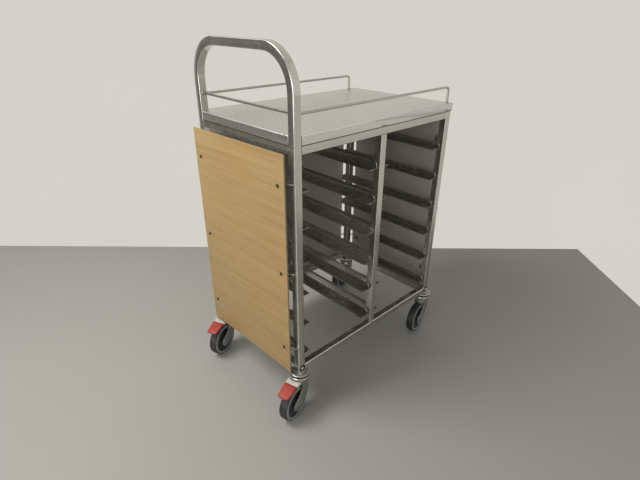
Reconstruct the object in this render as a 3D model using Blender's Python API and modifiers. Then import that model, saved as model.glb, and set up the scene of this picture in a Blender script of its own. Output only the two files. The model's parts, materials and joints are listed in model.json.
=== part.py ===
"""Two-column tray trolley: square-tube frame, worktop, tray runners, end and back boards, castors.

Metres, +Z up, floor at Z = 0. X runs along the trolley with the push handle at -X, and -Y is the
open side where trays slide in. The origin is the centre of the bounding box at floor level.
"""
import math

import bmesh
import bpy
from mathutils import Matrix, Vector

COLLECTION = "tray_trolley"
GAP = 0.0003                       # working gap between pieces that touch

# Frame
FRAME_X = 0.033640                 # where the middle of the frame stands from the origin
FRAME_Y = 0.006664
LENGTH = 0.716                     # over the posts
WIDTH = 0.474
TUBE = 0.025                       # square tube
TUBE_WALL = 0.0015
TUBE_CORNER = 0.0025
POST_BOTTOM = 0.170
SHELF_TOP = 0.950
SHELF_LIP = 0.025
POST_TOP = SHELF_TOP - SHELF_LIP
POST_X = (LENGTH - TUBE) / 2
POST_Y = (WIDTH - TUBE) / 2
INNER_X = LENGTH / 2 - TUBE        # inner faces of the posts
INNER_Y = WIDTH / 2 - TUBE

# Push hoop
HOOP_TOP = 1.169
HOOP_BEND = 0.120                  # outer radius of the two bends
BEND_STEPS = 9

# Worktop and its gallery rail
SHEET = 0.0015
OVERHANG = 0.007                   # the worktop runs past the far posts
FOLD = 0.003
ROD = 0.008
GALLERY_Z = SHELF_TOP + 0.051
GALLERY_Y = 0.217
GALLERY_BEND = 0.012
FRONT_FOOT_X = 0.357
BACK_FOOT_X = 0.316
CROSS_BAR_Z = SHELF_TOP + 0.054

# Boards
BOARD = 0.006
BOARD_STAND_OFF = 0.016
NEAR_BOARD_STAND_OFF = 0.022          # at the middle of the handle-end board
NEAR_BOARD_SKEW = 1.8                 # degrees about Z: its front edge stands closer
BOARD_TOP = 0.9045
BOARD_BOTTOM = 0.1765
END_BOARD_WIDTH = 0.433
BACK_BOARD_LENGTH = 0.670

# Tray runners
LEVELS = 6
TOP_RUNNER_Z = 0.791
RUNNER_PITCH = 0.1128
RUNNER_LENGTH = 0.450
RUNNER_FLANGE = 0.034
RUNNER_WEB = 0.022
RUNNER_CORNER = 0.014

# Castors, measured from the swivel axis at floor level; +X is the trail direction
WHEEL_R = 0.0625
WHEEL_HALF = 0.016
TRAIL = 0.041
AXLE_R = 0.006
FORK_HALF = 0.023
FORK_WALL = 0.005
FORK_TOP = 0.146
FORK_PLATE = 0.007
FORK_BACK = -0.0215
FORK_FRONT = 0.029                 # without a brake
BRAKE_PLATE_FRONT = 0.050
LEG_END = (0.043, 0.058)
LEG_END_R = 0.0215
HEAD_R = 0.031
STEM_R = 0.010
STEM_TOP = 0.215
HINGE_T = 0.058
HINGE_Z = 0.1385
BARREL_R = 0.0065
PIN_R = 0.002
TONGUE_HALF = 0.008
PEDAL_TIP = 0.104
PEDAL_DROP = 0.013
CASTORS = {                        # name: (stem X, stem Y, trail heading in degrees, has a brake)
    "castor_fl": (-POST_X, -POST_Y, 195.5, True),
    "castor_bl": (-POST_X, POST_Y, 202.0, True),
    "castor_fr": (POST_X, -POST_Y, 191.0, False),
    "castor_br": (POST_X, POST_Y, 192.0, False),
}

FINISHES = {                       # name: (colour, roughness, metallic)
    "tube_steel": ((0.55, 0.54, 0.50), 0.38, 1.0),
    "sheet_steel": ((0.62, 0.61, 0.58), 0.32, 1.0),
    "rod_steel": ((0.66, 0.65, 0.62), 0.25, 1.0),
    "oak_laminate": ((0.56, 0.38, 0.19), 0.45, 0.0),
    "zinc_fork": ((0.42, 0.42, 0.40), 0.42, 0.8),
    "grey_nylon": ((0.36, 0.37, 0.36), 0.50, 0.0),
    "black_rubber": ((0.03, 0.03, 0.03), 0.70, 0.0),
    "red_plastic": ((0.62, 0.07, 0.06), 0.40, 0.0),
}


def clear_scene():
    for old in list(bpy.data.objects):
        bpy.data.objects.remove(old, do_unlink=True)


def new_collection(name):
    made = bpy.data.collections.new(name)
    bpy.context.scene.collection.children.link(made)
    return made


def finish(name):
    made = bpy.data.materials.get(name)
    if made is None:
        colour, roughness, metallic = FINISHES[name]
        made = bpy.data.materials.new(name)
        made.use_nodes = True
        shader = made.node_tree.nodes["Principled BSDF"]
        shader.inputs["Base Color"].default_value = (*colour, 1.0)
        shader.inputs["Roughness"].default_value = roughness
        shader.inputs["Metallic"].default_value = metallic
    return made


def add_part(name, mesh, material, parent, place=(0.0, 0.0, 0.0), turn=(0.0, 0.0, 0.0)):
    """A finished piece in the trolley's collection."""
    part = bpy.data.objects.new(name, mesh)
    parts.objects.link(part)
    part.parent = parent
    part.location = place
    part.rotation_euler = turn
    mesh.materials.clear()
    mesh.materials.append(finish(material))
    return part


def add_tool(name, mesh, parent=None):
    """A solid that only shapes another one."""
    tool = bpy.data.objects.new(name, mesh)
    tools.objects.link(tool)
    tool.parent = parent
    tool.hide_render = True
    tool.display_type = "WIRE"
    return tool


def add_empty(name, parent=None, place=(0.0, 0.0, 0.0), heading=0.0):
    empty = bpy.data.objects.new(name, None)
    parts.objects.link(empty)
    empty.parent = parent
    empty.location = place
    empty.rotation_euler = (0.0, 0.0, heading)
    return empty


def combine(part, operation, *solids):
    """Boolean each tool solid with the part, in order."""
    for solid in solids:
        step = part.modifiers.new(solid.name, "BOOLEAN")
        step.operation = operation
        step.solver = "EXACT"
        step.object = solid


def soften(part, width, segments=2, angle=40.0):
    edge = part.modifiers.new("edges", "BEVEL")
    edge.width = width
    edge.segments = segments
    edge.limit_method = "ANGLE"
    edge.angle_limit = math.radians(angle)


def smooth(mesh, angle=40.0):
    mesh.shade_smooth()
    mesh.set_sharp_from_angle(angle=math.radians(angle))


def evaluated_mesh(obj):
    bpy.context.view_layer.update()
    graph = bpy.context.evaluated_depsgraph_get()
    return bpy.data.meshes.new_from_object(obj.evaluated_get(graph), depsgraph=graph)


def to_mesh(name, shape):
    mesh = bpy.data.meshes.new(name)
    shape.to_mesh(mesh)
    shape.free()
    return mesh


def cube_between(low, high):
    low, high = Vector(low), Vector(high)
    shape = bmesh.new()
    bmesh.ops.create_cube(shape, size=1.0)
    bmesh.ops.scale(shape, vec=high - low, verts=shape.verts)
    bmesh.ops.translate(shape, vec=(low + high) / 2, verts=shape.verts)
    return shape


def block(name, low, high):
    return to_mesh(name, cube_between(low, high))


def cylinder(name, radius, start, end, sides):
    """A cylinder between two points."""
    start, end = Vector(start), Vector(end)
    run = end - start
    shape = bmesh.new()
    turn = Vector((0.0, 0.0, 1.0)).rotation_difference(run).to_matrix().to_4x4()
    place = Matrix.Translation((start + end) / 2) @ turn
    bmesh.ops.create_cone(
        shape, cap_ends=True, segments=sides, radius1=radius, radius2=radius,
        depth=run.length, matrix=place,
    )
    return to_mesh(name, shape)


def prism(name, outline, half_width):
    """An outline in X and Z, drawn clockwise seen from -Y, extruded across Y."""
    shape = bmesh.new()
    ring = [shape.verts.new((x, -half_width, z)) for x, z in outline]
    side = shape.faces.new(ring)
    grown = bmesh.ops.extrude_face_region(shape, geom=[side])["geom"]
    moved = [item for item in grown if isinstance(item, bmesh.types.BMVert)]
    bmesh.ops.translate(shape, vec=(0.0, 2 * half_width, 0.0), verts=moved)
    bmesh.ops.recalc_face_normals(shape, faces=shape.faces)
    return to_mesh(name, shape)


def arc(centre, radius, start, end, steps):
    """Points round a centre, from one angle to another in degrees."""
    angles = [math.radians(start + (end - start) * step / steps) for step in range(steps + 1)]
    return [(centre[0] + radius * math.cos(a), centre[1] + radius * math.sin(a)) for a in angles]


def turned(name, profile, steps):
    """A ring turned about Z from a closed (radius, Z) profile, outer side first and downwards."""
    mesh = bpy.data.meshes.new(name)
    count = len(profile)
    corners = [(radius, 0.0, z) for radius, z in profile]
    mesh.from_pydata(corners, [(i, (i + 1) % count) for i in range(count)], [])
    shaped = add_tool(name + "_profile", mesh)
    screw = shaped.modifiers.new("turn", "SCREW")
    screw.steps = steps
    screw.render_steps = steps
    screw.use_merge_vertices = True
    screw.merge_threshold = 0.00005
    made = evaluated_mesh(shaped)
    bpy.data.objects.remove(shaped, do_unlink=True)
    smooth(made, 35.0)
    return made


# ---------------------------------------------------------------- frame

def square_tube(name, length, centre, axis, parent):
    """An open-ended tube along X, Y or Z."""
    half = length / 2
    side = TUBE / 2
    shape = cube_between((-side, -side, -half), (side, side, half))
    ends = [face for face in shape.faces if abs(face.normal.z) > 0.5]
    bmesh.ops.delete(shape, geom=ends, context="FACES_ONLY")
    turn = {"X": (0.0, math.pi / 2, 0.0), "Y": (math.pi / 2, 0.0, 0.0), "Z": (0.0, 0.0, 0.0)}[axis]
    tube = add_part(name, to_mesh(name, shape), "tube_steel", parent, centre, turn)
    soften(tube, TUBE_CORNER)
    add_wall(tube)
    return tube


def add_wall(tube):
    wall = tube.modifiers.new("wall", "SOLIDIFY")
    wall.thickness = TUBE_WALL
    wall.offset = -1.0
    wall.use_even_offset = True


def tube_profile():
    """The square tube's rounded outline, as a curve."""
    inner = TUBE / 2 - TUBE_CORNER
    outline = []
    for turn, (x, y) in enumerate([(1, 1), (-1, 1), (-1, -1), (1, -1)]):
        start = 90.0 * turn
        outline += arc((x * inner, y * inner), TUBE_CORNER, start, start + 90.0, 2)
    return add_curve("hoop_profile", [(x, y, 0.0) for x, y in outline], closed=True)


def add_curve(name, points, closed=False):
    curve = bpy.data.curves.new(name, "CURVE")
    curve.dimensions = "3D"
    line = curve.splines.new("POLY")
    line.points.add(len(points) - 1)
    for point, place in zip(line.points, points):
        point.co = (*place, 1.0)
    line.use_cyclic_u = closed
    return add_tool(name, curve)


def curve_mesh(curve):
    """The curve as a clean mesh, after which the curve is removed."""
    mesh = evaluated_mesh(curve)
    shape = bmesh.new()
    shape.from_mesh(mesh)
    bmesh.ops.remove_doubles(shape, verts=shape.verts, dist=0.00001)
    bmesh.ops.recalc_face_normals(shape, faces=shape.faces)
    shape.to_mesh(mesh)
    shape.free()
    bpy.data.objects.remove(curve, do_unlink=True)
    return mesh


def build_hoop(frame):
    """The near-end posts and the push handle, one tube bent twice."""
    bend = HOOP_BEND - TUBE / 2
    top = HOOP_TOP - TUBE / 2
    left = (-POST_Y + bend, top - bend)
    right = (POST_Y - bend, top - bend)
    route = [(-POST_Y, POST_BOTTOM)]
    route += arc(left, bend, 180.0, 90.0, BEND_STEPS)
    route += arc(right, bend, 90.0, 0.0, BEND_STEPS)
    route += [(POST_Y, POST_BOTTOM)]
    path = add_curve("hoop_path", [(0.0, y, z) for y, z in route])
    profile = tube_profile()
    path.data.bevel_mode = "OBJECT"
    path.data.bevel_object = profile
    mesh = curve_mesh(path)
    bpy.data.objects.remove(profile, do_unlink=True)
    smooth(mesh, 30.0)
    hoop = add_part("hoop_frame", mesh, "tube_steel", frame, (-POST_X, 0.0, 0.0))
    add_wall(hoop)


def build_posts(frame):
    tall = POST_TOP - GAP - POST_BOTTOM
    middle = POST_BOTTOM + tall / 2
    square_tube("post_right_front", tall, (POST_X, -POST_Y, middle), "Z", frame)
    square_tube("post_right_back", tall, (POST_X, POST_Y, middle), "Z", frame)
    low = POST_BOTTOM + TUBE + GAP
    high = POST_TOP - TUBE - 2 * GAP
    middle = (low + high) / 2
    square_tube("post_mid_front", high - low, (0.0, -POST_Y, middle), "Z", frame)
    square_tube("post_mid_back", high - low, (0.0, POST_Y, middle), "Z", frame)


def build_rails(frame):
    """Four long rails and four end rails, between the corner posts."""
    long_run = 2 * (INNER_X - GAP)
    end_run = 2 * (INNER_Y - GAP)
    heights = {"top": POST_TOP - GAP - TUBE / 2, "bottom": POST_BOTTOM + TUBE / 2}
    for level, z in heights.items():
        square_tube(f"rail_{level}_front", long_run, (0.0, -POST_Y, z), "X", frame)
        square_tube(f"rail_{level}_back", long_run, (0.0, POST_Y, z), "X", frame)
        square_tube(f"rail_{level}_left", end_run, (-POST_X, 0.0, z), "Y", frame)
        square_tube(f"rail_{level}_right", end_run, (POST_X, 0.0, z), "Y", frame)


# ---------------------------------------------------------------- worktop

def build_shelf(frame):
    """A folded pan, open below, notched round the hoop's legs."""
    left, right = -LENGTH / 2, LENGTH / 2 + OVERHANG
    half = WIDTH / 2
    shape = cube_between((left, -half, POST_TOP), (right, half, SHELF_TOP))
    top_edges = [e for e in shape.edges if all(v.co.z > SHELF_TOP - 1e-5 for v in e.verts)]
    bmesh.ops.bevel(shape, geom=top_edges, offset=FOLD, segments=3, profile=0.5, affect="EDGES")
    shelf = add_part("top_shelf", to_mesh("top_shelf", shape), "sheet_steel", frame)
    pocket = block(
        "shelf_pocket",
        (left + SHEET, -half + SHEET, POST_TOP - 0.01),
        (right - SHEET, half - SHEET, SHELF_TOP - SHEET),
    )
    combine(shelf, "DIFFERENCE", add_tool("shelf_pocket", pocket, frame))
    notch = TUBE + GAP
    for side in (-1, 1):
        near, far = sorted((side * (half - notch), side * (half + 0.01)))
        name = f"shelf_notch_{'front' if side < 0 else 'back'}"
        corner = block(name, (left - 0.01, near, POST_TOP - 0.02), (left + notch, far, SHELF_TOP + 0.01))
        combine(shelf, "DIFFERENCE", add_tool(name, corner, frame))


def rod(name, route, frame):
    """A round bar along a route of points."""
    path = add_curve(name, route)
    path.data.bevel_depth = ROD / 2
    path.data.bevel_resolution = 4
    path.data.use_fill_caps = True
    mesh = curve_mesh(path)
    smooth(mesh, 50.0)
    return add_part(name, mesh, "rod_steel", frame)


def build_gallery(frame):
    """Two side rails, each with one bent foot, and the bar between the hoop's legs."""
    start = -INNER_X + GAP
    for name, side, foot in (("front", -1, FRONT_FOOT_X), ("back", 1, BACK_FOOT_X)):
        centre = (foot - GALLERY_BEND, GALLERY_Z - GALLERY_BEND)
        route = [(start, GALLERY_Z)]
        route += arc(centre, GALLERY_BEND, 90.0, 0.0, 5)
        route += [(foot, SHELF_TOP + GAP)]
        rod(f"gallery_{name}", [(x, side * GALLERY_Y, z) for x, z in route], frame)
    reach = INNER_Y - GAP
    rod("gallery_cross_bar", [(-POST_X, side * reach, CROSS_BAR_Z) for side in (-1, 1)], frame)


# ---------------------------------------------------------------- boards

def board(name, size, centre, frame, skew=0.0):
    shape = cube_between([-side / 2 for side in size], [side / 2 for side in size])
    mesh = to_mesh(name, shape)
    mesh.transform(Matrix.Rotation(math.radians(skew), 4, "Z"))
    made = add_part(name, mesh, "oak_laminate", frame, centre)
    soften(made, 0.0008, 1)


def build_boards(frame):
    """Two end boards and a back board, each held off the posts."""
    middle = (BOARD_TOP + BOARD_BOTTOM) / 2
    tall = BOARD_TOP - BOARD_BOTTOM
    end_size = (BOARD, END_BOARD_WIDTH, tall)
    near = -LENGTH / 2 - NEAR_BOARD_STAND_OFF - BOARD / 2
    far = LENGTH / 2 + BOARD_STAND_OFF + BOARD / 2
    board("panel_left", end_size, (near, 0.0, middle), frame, NEAR_BOARD_SKEW)
    board("panel_right", end_size, (far, 0.0, middle), frame)
    back = WIDTH / 2 + BOARD_STAND_OFF + BOARD / 2
    board("panel_back", (BACK_BOARD_LENGTH, BOARD, tall), (0.0, back, middle), frame)


# ---------------------------------------------------------------- tray runners

def runner_mesh(side):
    """An angle with a turned-up back stop; its flange points to +X or -X."""
    name = "runner_blank"
    half = RUNNER_LENGTH / 2
    shape = cube_between((0.0, -half, 0.0), (RUNNER_FLANGE, half, RUNNER_WEB))
    top = RUNNER_WEB - 1e-5
    rounded = []
    for edge in shape.edges:
        ends = [vert.co for vert in edge.verts]
        high = all(co.z > top for co in ends)
        outer = all(co.x > RUNNER_FLANGE - 1e-5 for co in ends)
        front = all(co.y < -half + 1e-5 for co in ends)
        if high and (outer or front):
            rounded.append(edge)
    bmesh.ops.bevel(shape, geom=rounded, offset=RUNNER_CORNER, segments=5, profile=0.5, affect="EDGES")
    blank = add_tool(name, to_mesh(name, shape))
    inside = block(name + "_inside", (SHEET, -half - 0.01, SHEET), (0.1, half - SHEET, 0.1))
    cutter = add_tool(name + "_inside", inside)
    combine(blank, "DIFFERENCE", cutter)
    mesh = evaluated_mesh(blank)
    bpy.data.objects.remove(blank, do_unlink=True)
    bpy.data.objects.remove(cutter, do_unlink=True)
    if side < 0:
        mesh.transform(Matrix.Diagonal((-1.0, 1.0, 1.0, 1.0)))
        mesh.flip_normals()
    return mesh


def build_runners(frame):
    """Two facing rows of runners in each bay, one pair a level."""
    rows = {
        "left_bay_left": (-INNER_X + GAP, 1),
        "left_bay_right": (-TUBE / 2 - GAP, -1),
        "right_bay_left": (TUBE / 2 + GAP, 1),
        "right_bay_right": (INNER_X - GAP, -1),
    }
    blanks = {side: runner_mesh(side) for side in (1, -1)}
    for row, (x, side) in rows.items():
        for level in range(LEVELS):
            z = TOP_RUNNER_Z - level * RUNNER_PITCH
            name = f"runner_{row}_{level + 1}"
            add_part(name, blanks[side].copy(), "sheet_steel", frame, (x, 0.0, z))
    for blank in blanks.values():
        bpy.data.meshes.remove(blank)


# ---------------------------------------------------------------- castors

def fork_outline(brake):
    """One leg seen from the side: it drops from the head, then sweeps forward to the axle."""
    front = BRAKE_PLATE_FRONT if brake else FORK_FRONT
    plate = FORK_TOP - FORK_PLATE
    outline = [(FORK_BACK, FORK_TOP), (front, FORK_TOP), (front, plate), (0.026, plate)]
    outline += [(0.018, 0.131), (0.0145, 0.121), (0.017, 0.108), (0.029, 0.0935), (0.044, 0.0815)]
    outline += arc(LEG_END, LEG_END_R, 60.0, -125.0, 12)
    outline += [(0.018, 0.0455), (0.004, 0.0555), (-0.0085, 0.070), (-0.0165, 0.087)]
    outline += [(-0.0205, 0.105), (FORK_BACK, 0.125)]
    return outline


def build_fork(name, castor, brake):
    """The swivelling fork with its head, stem and axle; a braked one carries the pedal's pin."""
    mesh = prism(f"{name}_fork", fork_outline(brake), FORK_HALF)
    fork = add_part(f"{name}_fork", mesh, "zinc_fork", castor)
    soften(fork, 0.002, 2)
    inner = FORK_HALF - FORK_WALL
    slot = block(f"{name}_slot", (-0.1, -inner, 0.0), (0.2, inner, FORK_TOP - FORK_PLATE))
    combine(fork, "DIFFERENCE", add_tool(f"{name}_slot", slot, castor))
    head_top = POST_BOTTOM - GAP
    head = cylinder(f"{name}_head", HEAD_R, (0, 0, FORK_TOP - 0.004), (0, 0, head_top), 32)
    head = add_tool(f"{name}_head", head, castor)
    soften(head, 0.002, 2)
    stem = cylinder(f"{name}_stem", STEM_R, (0, 0, FORK_TOP), (0, 0, STEM_TOP), 20)
    reach = FORK_HALF + 0.003
    axle = cylinder(f"{name}_axle", AXLE_R, (TRAIL, -reach, WHEEL_R), (TRAIL, reach, WHEEL_R), 20)
    solids = [head]
    solids += [add_tool(f"{name}_stem", stem, castor)]
    solids += [add_tool(f"{name}_axle", axle, castor)]
    if brake:
        back = (HINGE_T - 0.020, HINGE_Z - 0.004)
        outline = [back, (back[0], HINGE_Z + 0.004)]
        outline += arc((HINGE_T, HINGE_Z), 0.004, 90.0, -90.0, 6)
        tongue = prism(f"{name}_tongue", outline, TONGUE_HALF)
        reach = FORK_HALF - 0.003
        pin = cylinder(f"{name}_pin", PIN_R, (HINGE_T, -reach, HINGE_Z), (HINGE_T, reach, HINGE_Z), 12)
        solids += [add_tool(f"{name}_tongue", tongue, castor)]
        solids += [add_tool(f"{name}_pin", pin, castor)]
    combine(fork, "UNION", *solids)


def wheel_profile():
    """Hub, recessed disc and flanged rim, as radius and height."""
    bore, hub, recess = AXLE_R + 0.0001, 0.014, 0.047
    seat, flange = 0.0545, 0.0593
    disc, edge, groove = 0.009, WHEEL_HALF - 0.0005, 0.0125
    upper = [(bore, edge + 0.001), (hub, edge + 0.001), (hub, disc), (recess, disc), (recess + 0.002, edge)]
    upper += [(flange - 0.001, edge), (flange, edge - 0.001), (flange, groove + 0.0005), (seat, groove)]
    lower = [(radius, -z) for radius, z in reversed(upper)]
    return upper + lower


def tyre_profile():
    """The tread, a rounded band seated between the rim's flanges."""
    inner, half = 0.0548, 0.0120
    crown = arc((WHEEL_R - 0.006, 0.0), 0.006, 90.0, -90.0, 6)
    outer = [(radius, math.copysign(abs(z) / 0.006, z) * half) for radius, z in crown]
    return outer + [(inner, -half), (inner, half)]


def build_wheel(name, castor):
    place = (TRAIL, 0.0, WHEEL_R)
    lie = (math.pi / 2, 0.0, 0.0)
    core = turned(f"{name}_wheel", wheel_profile(), 32)
    add_part(f"{name}_wheel", core, "grey_nylon", castor, place, lie)
    tread = turned(f"{name}_tyre", tyre_profile(), 40)
    add_part(f"{name}_tyre", tread, "black_rubber", castor, place, lie)


def build_pedal(name, castor):
    """The red brake pedal, a wedge with a rounded end that turns on the fork's pin."""
    tip = PEDAL_TIP - HINGE_T
    top = BARREL_R - PEDAL_DROP
    outline = arc((0.0, 0.0), BARREL_R, 270.0, 90.0, 10)
    outline += [(tip * 0.5, BARREL_R - PEDAL_DROP * 0.35), (tip, top)]
    outline += [(tip, top - 0.004), (tip * 0.4, -BARREL_R - 0.001)]
    wedge = prism(f"{name}_brake", outline, FORK_HALF)
    pedal = add_part(f"{name}_brake", wedge, "red_plastic", castor, (HINGE_T, 0.0, HINGE_Z))
    reach = 0.043
    nose = cylinder(f"{name}_nose", reach, (PEDAL_TIP - reach, 0, 0.1), (PEDAL_TIP - reach, 0, 0.2), 48)
    combine(pedal, "INTERSECT", add_tool(f"{name}_nose", nose, castor))
    tidy = pedal.modifiers.new("tidy", "WELD")
    tidy.merge_threshold = 0.0001
    soften(pedal, 0.0012, 2)
    slot_half = TONGUE_HALF + 0.0004
    slot = block(
        f"{name}_pedal_slot",
        (HINGE_T - 0.012, -slot_half, HINGE_Z - 0.02),
        (HINGE_T + 0.006, slot_half, HINGE_Z + 0.02),
    )
    reach = FORK_HALF - 0.0025
    bore = cylinder(
        f"{name}_pedal_bore", PIN_R + 0.00015, (HINGE_T, -reach, HINGE_Z), (HINGE_T, reach, HINGE_Z), 16
    )
    combine(pedal, "DIFFERENCE", add_tool(f"{name}_pedal_slot", slot, castor))
    combine(pedal, "DIFFERENCE", add_tool(f"{name}_pedal_bore", bore, castor))


def build_castors(frame):
    for name, (x, y, heading, brake) in CASTORS.items():
        castor = add_empty(name, frame, (x, y, 0.0), math.radians(heading))
        build_fork(name, castor, brake)
        build_wheel(name, castor)
        if brake:
            build_pedal(name, castor)


clear_scene()
parts = new_collection(COLLECTION)
tools = new_collection(COLLECTION + "_cutters")
trolley = add_empty("trolley", None, (FRAME_X, FRAME_Y, 0.0))
build_hoop(trolley)
build_posts(trolley)
build_rails(trolley)
build_shelf(trolley)
build_gallery(trolley)
build_boards(trolley)
build_runners(trolley)
build_castors(trolley)
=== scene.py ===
"""Looks of the tray trolley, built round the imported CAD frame."""
import json
import math
import random

import bmesh
import bpy
from mathutils import Matrix, Vector


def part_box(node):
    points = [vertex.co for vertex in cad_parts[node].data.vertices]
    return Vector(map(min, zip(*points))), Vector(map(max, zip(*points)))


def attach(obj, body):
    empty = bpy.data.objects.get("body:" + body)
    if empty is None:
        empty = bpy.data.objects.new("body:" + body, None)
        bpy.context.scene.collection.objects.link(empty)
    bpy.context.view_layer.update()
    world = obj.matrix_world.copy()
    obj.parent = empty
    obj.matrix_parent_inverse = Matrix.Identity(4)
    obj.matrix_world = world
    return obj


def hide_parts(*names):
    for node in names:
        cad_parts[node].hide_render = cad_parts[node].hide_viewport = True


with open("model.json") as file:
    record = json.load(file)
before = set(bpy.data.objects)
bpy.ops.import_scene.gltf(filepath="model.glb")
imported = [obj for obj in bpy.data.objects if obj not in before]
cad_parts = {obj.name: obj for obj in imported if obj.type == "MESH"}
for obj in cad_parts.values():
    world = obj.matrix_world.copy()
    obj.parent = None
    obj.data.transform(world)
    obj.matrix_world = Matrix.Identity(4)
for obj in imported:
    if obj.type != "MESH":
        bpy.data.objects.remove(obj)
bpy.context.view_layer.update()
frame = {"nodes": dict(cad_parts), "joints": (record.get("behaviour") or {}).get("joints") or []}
NODES = frame["nodes"]
JOINTS = {joint["name"]: joint for joint in frame["joints"]}
dice = random.Random(7)

# ---------------------------------------------------------------- places taken from the frame

SHELF_LOW, SHELF_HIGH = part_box("top_shelf")
HOOP_LOW, HOOP_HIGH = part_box("hoop_frame")
FAR_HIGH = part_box("post_right_front")[1]
TUBE = HOOP_HIGH.x - HOOP_LOW.x
LEFT, RIGHT = HOOP_LOW.x, FAR_HIGH.x                 # outer faces of the posts
FRONT, BACK = HOOP_LOW.y, HOOP_HIGH.y
MID_X = (LEFT + RIGHT) / 2
MID_Y = (FRONT + BACK) / 2
FOOT_Z = HOOP_LOW.z
SHELF_Z = SHELF_HIGH.z
RAIL_TOP_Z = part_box("rail_top_front")[0].z           # underside of the upper rails
RAIL_LOW_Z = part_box("rail_bottom_front")[1].z        # top of the lower rails

CORNER = 0.0025                                      # outside corner radius of the tube
HOOP_BEND = 0.120                                    # outer radius of the hoop's bends
LEG_STATIONS = (0.5, 0.9)                            # heights of the rings on the hoop's legs
ROD_R = 0.004
ROD_BEND = 0.012                                     # outer radius of a gallery bar's bend
BOARD = 0.006
BOARD_SKEW = 1.8                                     # degrees: the handle-end board stands askew
SCREW_DROP = 0.089                                   # from a board's top and bottom edges
SCREW_INSET = 0.0265                                 # from its side edges
SHADE_STRIP_TALL = 0.0025                                   # of the painted shade strip below the lip
WELD_R = 0.0016
FOOT_BOLT_RISE = 0.016                               # from a post's foot up to its bolt
AXLE_END = 0.0231                                    # from the wheel's middle to its end washers
PEDAL_TIP = 0.1042                                   # ahead of the swivel's axis
WELD_LIMIT = 0.00001                                 # CAD points closer than this are one point

CAMERA_PLACE = (MID_X - 1.065399, MID_Y - 1.083802, 1.2283)
CAMERA_HEADING = 43.289                              # degrees from +Y towards +X
CAMERA_PITCH = 27.126                                # degrees below level
CAMERA_ROLL = 0.324
CAMERA_LENS = 25.01

BACK_WALL = 2.30                                     # ahead of the camera
RIGHT_WALL = 1.51                                    # to its right
RIGHT_WALL_BACK = 1.5                                # how far it runs on behind the camera
BACK_WALL_LEFT = 2.4                                 # how far the back wall runs to the left
WALL_TALL = 2.6
FLOOR_REACH = 12.0
WALL_COLOUR = (0.650, 0.637, 0.580)
SURROUND = (0.560, 0.548, 0.500)
SURROUND_DARK = (0.160, 0.157, 0.145)
DARK_SIDE = (-0.728, 0.686, 0.0)                     # where the surround is darkest
FILL = 0.30                                          # the surround's strength as a light


# ---------------------------------------------------------------- camera, floor and light

def make_camera():
    """A wide lens at chest height, close to the handle end, tilted down."""
    data = bpy.data.cameras.new("camera")
    data.sensor_width = 36.0
    data.lens = CAMERA_LENS
    data.clip_start = 0.02
    camera = bpy.data.objects.new("camera", data)
    bpy.context.scene.collection.objects.link(camera)
    aim = Matrix.Rotation(math.radians(-CAMERA_HEADING), 4, "Z")
    aim @= Matrix.Rotation(math.radians(90.0 - CAMERA_PITCH), 4, "X")
    aim @= Matrix.Rotation(math.radians(CAMERA_ROLL), 4, "Z")
    camera.matrix_world = Matrix.Translation(CAMERA_PLACE) @ aim
    bpy.context.scene.camera = camera


def area_light(name, place, target, size, power, colour):
    """A soft rectangular light that faces its target."""
    data = bpy.data.lights.new(name, "AREA")
    data.shape = "RECTANGLE"
    data.size, data.size_y = size
    data.energy = power
    data.color = colour
    light = bpy.data.objects.new(name, data)
    bpy.context.scene.collection.objects.link(light)
    light.location = place
    light.rotation_euler = (Vector(target) - Vector(place)).to_track_quat("-Z", "Y").to_euler()


def add_backdrop(name, corners, material):
    """A flat piece of floor or wall, facing the way its corners turn."""
    shape = bmesh.new()
    shape.faces.new([shape.verts.new(corner) for corner in corners])
    mesh = bpy.data.meshes.new(name)
    shape.to_mesh(mesh)
    shape.free()
    mesh.materials.append(material)
    made = bpy.data.objects.new(name, mesh)
    bpy.context.scene.collection.objects.link(made)


def make_room():
    """A floor, and two pale walls that meet behind the trolley and show only their inner faces."""
    place = Vector((CAMERA_PLACE[0], CAMERA_PLACE[1], 0.0))
    heading = math.radians(CAMERA_HEADING)
    ahead = Vector((math.sin(heading), math.cos(heading), 0.0))
    right = Vector((ahead.y, -ahead.x, 0.0))
    up = Vector((0.0, 0.0, WALL_TALL))
    near = place + right * RIGHT_WALL - ahead * RIGHT_WALL_BACK
    corner = place + right * RIGHT_WALL + ahead * BACK_WALL
    far = place - right * BACK_WALL_LEFT + ahead * BACK_WALL
    paint = wall_material()
    add_backdrop("back_wall", [far, corner, corner + up, far + up], paint)
    add_backdrop("right_wall", [corner, near, near + up, corner + up], paint)
    sides = [(-1, -1), (1, -1), (1, 1), (-1, 1)]
    add_backdrop("floor", [(x * FLOOR_REACH, y * FLOOR_REACH, 0.0) for x, y in sides], floor_material())


def make_world():
    """An even pale surround; what the steel reflects is darker towards the handle end."""
    world = bpy.data.worlds.new("studio")
    bpy.context.scene.world = world
    world.use_nodes = True
    tree = world.node_tree
    sky = tree.nodes["Background"]
    where = add_node(tree, "ShaderNodeTexCoord").outputs["Generated"]
    facing = add_node(tree, "ShaderNodeVectorMath", {"operation": "DOT_PRODUCT"})
    tree.links.new(where, facing.inputs[0])
    facing.inputs[1].default_value = DARK_SIDE
    height = add_node(tree, "ShaderNodeSeparateXYZ", Vector=where).outputs["Z"]
    aside = remap(tree, facing.outputs["Value"], 0.0, 1.0, 0.20, 0.75)
    low = remap(tree, height, 1.0, 0.0, 0.22, 0.50)
    tone = mix(tree, maths(tree, "MULTIPLY", aside, low), SURROUND, SURROUND_DARK)
    seen = add_node(tree, "ShaderNodeLightPath").outputs["Is Camera Ray"]
    tree.links.new(mix(tree, seen, tone, WALL_COLOUR), sky.inputs["Color"])
    tree.links.new(softer_as_light(tree), sky.inputs["Strength"])


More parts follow.
